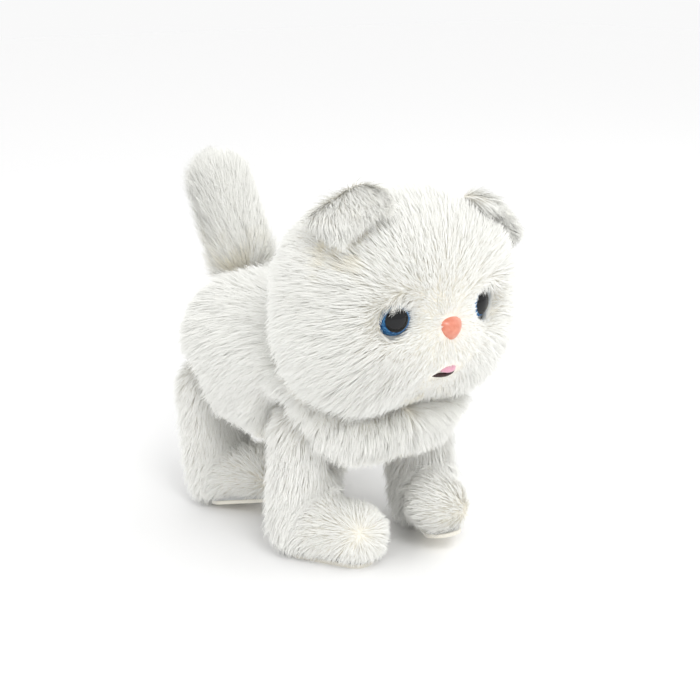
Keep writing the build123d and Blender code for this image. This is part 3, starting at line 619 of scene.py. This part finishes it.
def pile_tree():
    """Geometry nodes that grow a pile on a skin: ribbons that lean as combed and gather into locks."""
    tree = bpy.data.node_groups.new("Long pile", "GeometryNodeTree")
    tree.is_modifier = True
    for name, kind in PILE_INPUTS.items():
        tree.interface.new_socket(name, in_out="INPUT", socket_type=f"NodeSocket{kind}")
    tree.interface.new_socket("Geometry", in_out="OUTPUT", socket_type="NodeSocketGeometry")
    given = tree.nodes.new("NodeGroupInput").outputs
    place = add(tree, "GeometryNodeInputPosition")
    kept = {name: add(tree, "GeometryNodeInputNamedAttribute", {"data_type": kind}, Name=name)
            for name, kind in {**SKIN_FIELDS, **TUFT_FIELDS, **LOCK_FIELDS, **STRIP_FIELDS}.items()}
    place_seed, length_seed, lean_seed = (add(tree, MATHS, "ADD", in_0=given["Seed"], in_1=step)
                                          for step in (1, 2, 3))
    tone_seed = add(tree, MATHS, "ADD", in_0=given["Lock seed"], in_1=5)

    # Points that the locks gather to, each with the place of its tip and a tone.
    grown = sown(tree, given, kept, "Locks per area", given["Lock seed"])
    normal = grown.outputs["Normal"]
    lock_end = lean(tree, kept, place, normal, LOCK_STRAY, given["Lock seed"], kept["pile"])[2]
    tone = add(tree, "FunctionNodeRandomValue", {"data_type": "FLOAT"}, Seed=tone_seed).outputs[1]
    locks = keep(tree, grown, LOCK_FIELDS, (lock_end, tone))

    # Tufts, each with what its ribbon needs.
    grown = sown(tree, given, kept, "Tufts per area", place_seed)
    uneven = add(tree, "FunctionNodeRandomValue", {"data_type": "FLOAT"}, in_2=SHORTEST, in_3=LONGEST,
                 Seed=length_seed).outputs[1]
    length = add(tree, MATHS, "MULTIPLY", in_0=kept["pile"], in_1=uneven)
    normal = grown.outputs["Normal"]
    root, tip, end, chance = lean(tree, kept, place, normal, TUFT_STRAY, lean_seed, length)
    nearest = add(tree, "GeometryNodeSampleNearest", {"domain": "POINT"}, Geometry=locks)
    lock_end, tone = (add(tree, "GeometryNodeSampleIndex", {"data_type": kind, "domain": "POINT"},
                          Geometry=locks, Value=kept[name], Index=nearest)
                      for name, kind in LOCK_FIELDS.items())
    to_lock = add(tree, VECTORS, "SUBTRACT", in_0=lock_end, in_1=end)
    pull = add(tree, VECTORS, "SCALE", in_0=to_lock, Scale=given["Lock pull"])
    flat = add(tree, VECTORS, "NORMALIZE", in_0=add(tree, VECTORS, "CROSS_PRODUCT", in_0=root, in_1=normal))
    turned = add(tree, VECTORS, "ADD", in_0=flat, in_1=add(tree, VECTORS, "SCALE", in_0=chance, Scale=0.5))
    side = add(tree, VECTORS, "NORMALIZE", in_0=turned)
    facing = add(tree, VECTORS, "ADD", in_0=kept["open"],
                 in_1=add(tree, VECTORS, "SCALE", in_0=chance, Scale=0.22))
    # Painted shade: a tuft's tone is its skin's fold shade, painted cream, plus the random tone of its lock,
    # and it becomes the U of its map.
    painted_fold_shade = add(tree, MATHS, "MULTIPLY", in_0=kept["tint"], in_1=0.62)
    shade = add(tree, MATHS, "ADD", in_0=painted_fold_shade, in_1=add(tree, MATHS, "MULTIPLY", in_0=tone, in_1=0.36))
    tufts = keep(tree, grown, TUFT_FIELDS, (place, root, tip, pull, side, facing, shade))

    # One ribbon per tuft: a strip whose rows run from the root to the tip.
    rows = add(tree, MATHS, "ADD", in_0=given["Segments"], in_1=1)
    strip = add(tree, "GeometryNodeMeshGrid", in_0=1.0, in_1=1.0, in_2=2, in_3=rows)
    parts = add(tree, "ShaderNodeSeparateXYZ", in_0=place).outputs
    strip = keep(tree, strip, STRIP_FIELDS, (parts["X"], add(tree, MATHS, "ADD", in_0=parts["Y"], in_1=0.5)))
    ribbons = add(tree, "GeometryNodeInstanceOnPoints", Points=tufts, Instance=strip)
    ribbons = add(tree, "GeometryNodeRealizeInstances", Geometry=ribbons)

    # Each ribbon turns from its root direction to its tip direction, narrows, and is drawn to its lock.
    along, across = kept["along"], kept["across"]
    squared = add(tree, MATHS, "MULTIPLY", in_0=along, in_1=along)
    half = add(tree, MATHS, "MULTIPLY", in_0=squared, in_1=0.5)
    lost = add(tree, MATHS, "MULTIPLY", in_0=squared, in_1=TAPER)
    narrow = add(tree, MATHS, "SUBTRACT", in_0=1.0, in_1=lost)
    width = add(tree, MATHS, "MULTIPLY", in_0=across, in_1=given["Fibre width"])
    shares = {"root": add(tree, MATHS, "SUBTRACT", in_0=along, in_1=half), "tip": half, "pull": squared,
              "side": add(tree, MATHS, "MULTIPLY", in_0=width, in_1=narrow)}
    curve = kept["foot"]
    for name, share in shares.items():
        step = add(tree, VECTORS, "SCALE", in_0=kept[name], Scale=share)
        curve = add(tree, VECTORS, "ADD", in_0=curve, in_1=step)
    parts = add(tree, "ShaderNodeSeparateXYZ", in_0=curve).outputs
    on_floor = add(tree, MATHS, "MAXIMUM", in_0=parts["Z"], in_1=given["Floor height"])
    curve = add(tree, "ShaderNodeCombineXYZ", X=parts["X"], Y=parts["Y"], Z=on_floor)
    ribbons = add(tree, "GeometryNodeSetPosition", Geometry=ribbons, Position=curve)
    # Shading follows the skin below, as a dense pile's does, so single ribbons don't glint.
    ribbons = add(tree, "GeometryNodeSetMeshNormal", {"mode": "FREE"}, Mesh=ribbons,
                  Custom_Normal=add(tree, VECTORS, "NORMALIZE", in_0=kept["facing"]))
    spread = add(tree, MATHS, "ADD", in_0=add(tree, MATHS, "ADD", in_0=kept["tone"], in_1=0.01),
                 in_1=add(tree, MATHS, "MULTIPLY", in_0=across, in_1=MAP_WIDTH))
    ribbons = add(tree, "GeometryNodeStoreNamedAttribute", {"data_type": "FLOAT2", "domain": "CORNER"},
                  Geometry=ribbons, Name="OFBake", Value=add(tree, "ShaderNodeCombineXYZ", X=spread, Y=along))
    for name in (*TUFT_FIELDS, *STRIP_FIELDS, *SKIN_FIELDS):
        ribbons = add(tree, "GeometryNodeRemoveAttribute", Geometry=ribbons, Name=name)
    ribbons = add(tree, "GeometryNodeSetMaterial", Geometry=ribbons, Material=given["Material"])
    add(tree, "NodeGroupOutput", Geometry=ribbons)
    return tree


def grow(name, skin, body, tufts_per_mm2, pile, material, seed, pieces=1, floor=-1.0):
    """Grows the pile of one skin as plain meshes, each under the size limit, that ride on the skin's body."""
    segments = 3
    tree = bpy.data.node_groups.get("Long pile") or pile_tree()
    seed += pile.seed
    values = {"Tufts per area": tufts_per_mm2 / pieces / MM ** 2, "Locks per area": pile.lock_spacing ** -2,
              "Fibre width": pile.fibre_width, "Lock pull": pile.lock_pull, "Floor height": floor,
              "Segments": segments, "Material": material}
    ids = {item.name: item.identifier for item in tree.interface.items_tree if item.in_out == "INPUT"}
    for count in range(pieces):
        maker = new_object("pile maker", skin.data)
        modifier = maker.modifiers.new("Pile", "NODES")
        modifier.node_group = tree
        for label, value in values.items():
            modifier[ids[label]] = value
        modifier[ids["Lock seed"]] = seed
        modifier[ids["Seed"]] = seed + 10 * count
        graph = bpy.context.evaluated_depsgraph_get()
        graph.update()
        mesh = bpy.data.meshes.new_from_object(maker.evaluated_get(graph))
        bpy.data.objects.remove(maker)
        piece = new_object(f"{name}_{count + 1}" if pieces > 1 else name, mesh)
        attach(piece, body)


def finish_skin(skin, body, nodes, backing):
    """Takes the pile's fields off a skin, gives it its backing cloth and its body, and hides the CAD nodes
    that it stands for.
    """
    for name in SKIN_FIELDS:
        skin.data.attributes.remove(skin.data.attributes[name])
    skin.data.materials.clear()
    skin.data.materials.append(backing)
    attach(skin, body)
    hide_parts(*nodes)


def shared(name, maker, *values):
    """The material of that name, made once."""
    return bpy.data.materials.get(name) or maker(*values)


def plush_materials():
    """The pile's and the backing's materials."""
    plush = bpy.context.scene.kitten_plush
    pile = shared("Acrylic faux fur pile", acrylic_pile, plush.pile, plush.root, plush.shade)
    return pile, shared("Knitted polyester backing", knitted_backing, plush.root)


# ---------------------------------------------------------------- operators

class KITTEN_OT_finishes(bpy.types.Operator):
    """Give every CAD part that stays in sight or inside the case its own material"""

    bl_idname = "kitten.finishes"
    bl_label = "Case, drive and trim"

    def execute(self, context):
        made = finishes(context.scene.kitten_face)
        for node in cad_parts.values():
            for place in node.material_slots:
                if place.material and place.material.name in made:
                    place.material = made[place.material.name]
        return {"FINISHED"}


class KITTEN_OT_eyes(bpy.types.Operator):
    """Paint the iris and pupil under both polished domes"""

    bl_idname = "kitten.eyes"
    bl_label = "Eyes"

    def execute(self, context):
        face = context.scene.kitten_face
        for side in EYES:
            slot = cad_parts[f"eye_{side}"].material_slots[0]
            slot.material = eye_dome(side, face.iris, face.pupil_share)
        return {"FINISHED"}


class KITTEN_OT_muzzle(bpy.types.Operator):
    """Make the nose pad, the dark lower lip and the tongue that rests on it"""

    bl_idname = "kitten.muzzle"
    bl_label = "Nose and mouth"

    def execute(self, context):
        nose = rounded_piece("nose_pad", nose_button)
        lip = lip_rim()
        tongue = rounded_piece("tongue_petal", tongue_petal)
        for piece, node, slot in ((nose, "nose", "nose_vinyl"), (lip, "mouth_lip", "mouth_vinyl"),
                                  (tongue, "tongue", "tongue_felt")):
            piece.data.materials.clear()
            piece.data.materials.append(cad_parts[node].material_slots[0].material)
            for face in piece.data.polygons:
                face.use_smooth = True
            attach(piece, "head")
            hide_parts(node)
        return {"FINISHED"}


class KITTEN_OT_head(bpy.types.Operator):
    """Make the stuffed head and its pile, short round the eyes and muzzle and long on the cheeks"""

    bl_idname = "kitten.head"
    bl_label = "Head"

    def execute(self, context):
        scene = context.scene
        skin = stuffed_skin("head_skin", "head_plush", scene.kitten_plush, close_sockets)
        rows = points_of(skin.data)
        normals = normals_of(skin.data)
        nose, centre = np.array(NOSE), np.array(HEAD)
        behind = fade(rows[:, 1], nose[1] + 0.004, nose[1] + 0.07)
        above = fade(rows[:, 2], centre[2] - 0.005, centre[2] + 0.03)
        # The pile parts at the nose, and falls back and down from it.
        comb = unit(rows - nose)
        comb[:, 1] += 0.35
        comb[:, 2] -= (1 - above) * (0.25 + 0.75 * behind) + above * behind * 0.5
        comb[:, 1] += above * behind * 0.6
        from_nose = away_from(rows, nose)
        shortest = 0.0032
        pile = shortest + (scene.kitten_pile.head_pile - shortest) * fade(from_nose, 0.010, 0.050)
        pile *= 1 - 0.28 * above
        from_eye = np.minimum(away_from(rows, EYES["right"]), away_from(rows, EYES["left"]))
        pile = np.minimum(pile, 0.0030 + 0.9 * np.maximum(from_eye - EYE_RADIUS - 0.0005, 0))
        # Above each eye and beside the nose, short pile hangs over the edge of the dome.
        for eye in EYES.values():
            out = unit(rows - np.array(eye))
            lashes = fade(out @ unit(np.array([(-np.sign(eye[0]) * 0.5, 0.0, 0.9)]))[0], 0.15, 0.6)
            lashes *= 1 - fade(away_from(rows, eye), EYE_RADIUS + 0.004, EYE_RADIUS + 0.010)
            comb = comb * (1 - lashes[:, None]) - out * lashes[:, None]
            pile = np.maximum(pile, 0.0040 * lashes)
        from_mouth = away_from(rows, MOUTH)
        pile = np.minimum(pile, 0.0022 + 0.5 * np.maximum(from_mouth - 0.011, 0))
        from_ear = np.minimum(*(away_from(rows, middle(f"ear_{side}")) for side in EYES))
        pile *= 0.40 + 0.60 * fade(from_ear, 0.014, 0.030)
        chin = fade(-normals[:, 2], 0.15, 0.75) * fade(from_mouth, 0.012, 0.022)
        lift = 0.32 + 0.16 * fade(from_nose, 0.02, 0.06) + 0.5 * chin
        bare = (from_eye > EYE_RADIUS * 0.95) & (from_nose > 0.0068)
        bare &= (away_from(rows / (1, 1, 0.6), MOUTH_GAP / (1, 1, 0.6)) > 0.0100)
        outer = ((rows - centre) * normals).sum(1) > 0
        # No pile where the head sits over the neck and the case, so that none is pushed into them by a nod.
        bare &= ~((normals[:, 2] < -0.35) & (np.abs(rows[:, 0]) < 0.034) & (rows[:, 1] > nose[1] + 0.032))
        # Painted shade: cream is painted under the fold of the right ear, below the chin and round the eyes,
        # where shade falls.
        tint = 0.55 * (1 - fade(away_from(rows, (-0.036, centre[1] - 0.012, 0.155)), 0.006, 0.022))
        tint += 0.4 * (1 - fade(away_from(rows, (nose[0], centre[1], centre[2] - 0.045)), 0.01, 0.035))
        tint += 0.35 * (1 - fade(from_eye, EYE_RADIUS, EYE_RADIUS + 0.006))
        mark(skin, comb, pile, lift, np.clip(tint, 0, 1), (bare & outer).astype(float))
        pile_material, backing = plush_materials()
        grow("head_pile", skin, "head", 2.8, scene.kitten_pile, pile_material, 0, pieces=3)
        finish_skin(skin, "head", ["head_plush"], backing)
        return {"FINISHED"}


class KITTEN_OT_ears(bpy.types.Operator):
    """Make both folded ears and their pile, which falls from root to tip"""

    bl_idname = "kitten.ears"
    bl_label = "Ears"

    def execute(self, context):
        scene = context.scene
        pile_material, backing = plush_materials()
        for count, (side, (fall, longer_by, wider_by, shift)) in enumerate(EARS.items()):
            skin = stuffed_skin(f"ear_{side}_skin", f"ear_{side}", scene.kitten_plush,
                                ear_stretch(side, fall, longer_by, wider_by, shift))
            rows = points_of(skin.data)
            comb = np.array(fall) + 0.5 * unit(rows - np.array(middle(f"ear_{side}")))
            pile, lift, tint, cover = (np.full(len(rows), value)
                                       for value in (scene.kitten_pile.ear_pile, 0.10, 0.05, 1.0))
            mark(skin, comb, pile, lift, tint, cover, unit(rows - np.array(HEAD)))
            grow(f"ear_{side}_pile", skin, "head", 4.5, scene.kitten_pile, pile_material, 100 + 20 * count)
            finish_skin(skin, "head", [f"ear_{side}"], backing)
        return {"FINISHED"}


class KITTEN_OT_body(bpy.types.Operator):
    """Make the stuffed body round the case and its pile, swept back and down"""

    bl_idname = "kitten.body"
    bl_label = "Body"

    def execute(self, context):
        scene = context.scene
        skin = stuffed_skin("body_skin", "body_plush", scene.kitten_plush, cover_case)
        rows = points_of(skin.data)
        low, high = (np.array(corner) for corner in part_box("body_plush"))
        half, centre = (high - low) / 2, (high + low) / 2
        inside = np.abs(rows - centre) / half
        outer = (inside ** 4).sum(1) > 0.66
        side = fade(np.abs(rows[:, 0]), 0.012, 0.042)
        front = 1 - fade(rows[:, 1], low[1] + 0.004, low[1] + 0.035)
        rear = fade(rows[:, 1], high[1] - 0.035, high[1] - 0.004)
        under = 1 - fade(rows[:, 2], low[2] + 0.002, low[2] + 0.020)
        # The pile runs back along the sides, and hangs down over the chest and the rump.
        comb = np.zeros_like(rows)
        comb[:, 1] = 0.9 - 0.9 * front - 0.7 * rear
        comb[:, 2] = -0.35 - 0.5 * side - 0.7 * front - 0.8 * rear
        comb[:, 0] = 0.35 * np.sign(rows[:, 0]) * front
        comb[:, 2] *= 1 - under * 0.8 * (1 - rear)
        # The pile turns to the tail round its root, and closes the gap that it wags in.
        tail_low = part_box("tail_plush")[0]
        tail_root = np.array((0.0, tail_low[1] + 0.010, tail_low[2] + 0.002))
        by_tail = 1 - fade(away_from(rows, tail_root), 0.012, 0.026)
        comb = comb * (1 - by_tail[:, None]) + unit(tail_root - rows) * by_tail[:, None]
        pile = scene.kitten_pile.body_pile * (1 - 0.45 * under * (1 - rear)) * (
            1 - 0.45 * rear * fade(rows[:, 2], centre[2] - 0.015, centre[2]))
        throat = front * fade(rows[:, 2], centre[2], high[2])
        lift = 0.30 + 0.1 * front - 0.08 * under - 0.1 * rear + 0.35 * throat + 0.3 * by_tail
        # Painted shade: cream is painted under the belly and on the chest below the chin, where shade falls.
        tint = 0.55 * under + 0.45 * (1 - fade(away_from(rows, (0, low[1] + 0.012, high[2])), 0.01, 0.04))
        mark(skin, comb, pile, lift, np.clip(tint, 0, 1), outer.astype(float))
        pile_material, backing = plush_materials()
        grow("body_pile", skin, "chassis", 3.4, scene.kitten_pile, pile_material, 200, pieces=4)
        finish_skin(skin, "chassis", ["body_plush"], backing)
        return {"FINISHED"}


class KITTEN_OT_legs(bpy.types.Operator):
    """Make the four stuffed legs, whose pile falls to the ankle and fans out from a whorl on each paw"""

    bl_idname = "kitten.legs"
    bl_label = "Legs"

    def execute(self, context):
        scene = context.scene
        pile_material, backing = plush_materials()
        for count, leg in enumerate(LEGS):
            skin = stuffed_skin(f"{leg}_leg_skin", f"{leg}_leg_plush", scene.kitten_plush)
            rows = points_of(skin.data)
            low, high = (np.array(corner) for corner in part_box(f"{leg}_leg_plush"))
            sole = np.array(middle(f"{leg}_sole"))
            whorl = np.array(((low[0] + high[0]) / 2, low[1] + 0.003, low[2] + 0.018))
            paw = 1 - fade(away_from(rows, whorl), 0.018, 0.040)
            fan = unit(rows - whorl)
            comb = fan * paw[:, None] + np.array((0, 0.12, -1.0)) * (1 - paw)[:, None]
            near_floor = 1 - fade(rows[:, 2], 0.004, 0.014)
            comb[:, 2] -= 0.9 * near_floor
            back = fade(normals_of(skin.data)[:, 1], 0.1, 0.8)
            pile = scene.kitten_pile.leg_pile * (1 - 0.40 * paw) * (1 - 0.3 * back)
            inward = abs(sole[0]) - np.sign(sole[0]) * rows[:, 0]
            # Short pile where the leg swings past the case.
            by_case = fade(inward, 0.006, 0.012) * fade(rows[:, 2], 0.04, 0.05)
            pile *= 1 - 0.75 * by_case
            lift = 0.34 + 0.1 * paw - 0.2 * by_case
            # Painted shade: cream is painted on the inner top of each leg, where it meets the body and shade
            # falls.
            tint = 0.5 * fade(rows[:, 2], high[2] - 0.03, high[2]) * (inward > 0)
            under = (rows[:, 2] < sole[2] + 0.004) & (np.abs(rows[:, 1] - sole[1]) < 0.02)
            mark(skin, comb, pile, lift, tint, (~under).astype(float))
            grow(f"{leg}_leg_pile", skin, f"{leg}_leg", 2.3, scene.kitten_pile, pile_material,
                 300 + 20 * count, floor=0.0004)
            finish_skin(skin, f"{leg}_leg", [f"{leg}_leg_plush"], backing)
        return {"FINISHED"}


class KITTEN_OT_tail(bpy.types.Operator):
    """Make the stuffed tail, whose pile sweeps up to its blunt tip"""

    bl_idname = "kitten.tail"
    bl_label = "Tail"

    def execute(self, context):
        scene = context.scene
        pile_material, backing = plush_materials()
        skin = stuffed_skin("tail_skin", "tail_plush", scene.kitten_plush)
        rows = points_of(skin.data)
        low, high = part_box("tail_plush")
        up = np.array((0.0, high[1] - low[1] - 0.028, high[2] - low[2] - 0.028))
        comb = np.tile(up / np.linalg.norm(up), (len(rows), 1))
        tip = fade(rows[:, 2], high[2] - 0.016, high[2])
        pile = scene.kitten_pile.tail_pile * (1 - 0.35 * tip)
        # Painted shade: cream is painted round the tail's root, where shade falls.
        mark(skin, comb, pile, 0.34 + 0.3 * tip, 0.4 * (1 - fade(rows[:, 2], low[2], low[2] + 0.03)),
             np.ones(len(rows)))
        grow("tail_pile", skin, "tail", 3.4, scene.kitten_pile, pile_material, 400)
        finish_skin(skin, "tail", ["tail_plush"], backing)
        return {"FINISHED"}


# Name, place from the aim point in metres, power in watts and side in metres of each square lamp.
LAMPS = (("key lamp", (-0.25, -0.9, 1.0), 5.0, 0.5), ("fill lamp", (1.0, -0.4, 0.7), 2.0, 1.0))


class KITTEN_OT_stage(bpy.types.Operator):
    """Make the pale floor, the soft lamps and the camera"""

    bl_idname = "kitten.stage"
    bl_label = "Stage"

    def execute(self, context):
        scene = context.scene
        stage = scene.kitten_stage
        half = stage.floor_size / 2
        mesh = bpy.data.meshes.new("floor")
        corners = [(-half, -half, 0), (half, -half, 0), (half, half, 0), (-half, half, 0)]
        mesh.from_pydata(corners, [], [(0, 1, 2, 3)])
        floor = new_object("floor", mesh)
        made, tree, skin = surface("Painted studio floor", Roughness=0.8)
        grain(tree, skin, 40.0, 0.0, stage.floor, stage.floor)
        floor.data.materials.append(made)
        world = scene.world or bpy.data.worlds.new("Studio")
        scene.world = world
        world.use_nodes = True
        world.node_tree.nodes.clear()
        sky = add(world.node_tree, "ShaderNodeBackground", Color=(1, 1, 1, 1), Strength=0.95)
        add(world.node_tree, "ShaderNodeOutputWorld", Surface=sky.outputs[0])
        aim = Vector(stage.aim)
        for name, where, power, size in LAMPS:
            lamp = bpy.data.lights.new(name, "AREA")
            lamp.energy = power
            lamp.size = size
            holder = bpy.data.objects.new(name, lamp)
            holder.location = aim + Vector(where)
            holder.rotation_euler = (-Vector(where)).to_track_quat("-Z", "Y").to_euler()
            scene.collection.objects.link(holder)
        camera = bpy.data.cameras.new("camera")
        camera.lens = stage.lens
        camera.shift_x = stage.shift_x
        camera.shift_y = stage.shift_y
        holder = bpy.data.objects.new("camera", camera)
        back = Vector((math.sin(stage.azimuth) * math.cos(stage.elevation),
                       -math.cos(stage.azimuth) * math.cos(stage.elevation), math.sin(stage.elevation)))
        holder.location = aim + back * stage.distance
        holder.rotation_euler = (-back).to_track_quat("-Z", "Y").to_euler()
        scene.collection.objects.link(holder)
        scene.camera = holder
        scene.view_settings.view_transform = "Standard"
        return {"FINISHED"}


# ---------------------------------------------------------------- panel and registration

OPERATORS = (KITTEN_OT_stage, KITTEN_OT_finishes, KITTEN_OT_eyes, KITTEN_OT_muzzle, KITTEN_OT_body,
             KITTEN_OT_head, KITTEN_OT_ears, KITTEN_OT_legs, KITTEN_OT_tail)
GROUPS = {"kitten_pile": KittenPileSettings, "kitten_face": KittenFaceSettings,
          "kitten_plush": KittenPlushSettings, "kitten_stage": KittenStageSettings}


class KITTEN_PT_tools(bpy.types.Panel):
    """Lists the kitten's pieces and settings"""

    bl_idname = "KITTEN_PT_tools"
    bl_label = "Plush kitten"
    bl_space_type = "VIEW_3D"
    bl_region_type = "UI"
    bl_category = "Kitten"

    def draw(self, context):
        for operator in OPERATORS:
            self.layout.operator(operator.bl_idname)
        for name, group in GROUPS.items():
            box = self.layout.box()
            for key in group.__annotations__:
                box.prop(getattr(context.scene, name), key)


def register():
    for made in (*GROUPS.values(), *OPERATORS, KITTEN_PT_tools):
        bpy.utils.register_class(made)
    for name, group in GROUPS.items():
        setattr(bpy.types.Scene, name, bpy.props.PointerProperty(type=group))


def unregister():
    for name in GROUPS:
        delattr(bpy.types.Scene, name)
    for made in reversed((*GROUPS.values(), *OPERATORS, KITTEN_PT_tools)):
        bpy.utils.unregister_class(made)


def main():
    register()
    for operator in OPERATORS:
        family, name = operator.bl_idname.split(".")
        getattr(getattr(bpy.ops, family), name)()


if __name__ == "__main__":
    main()
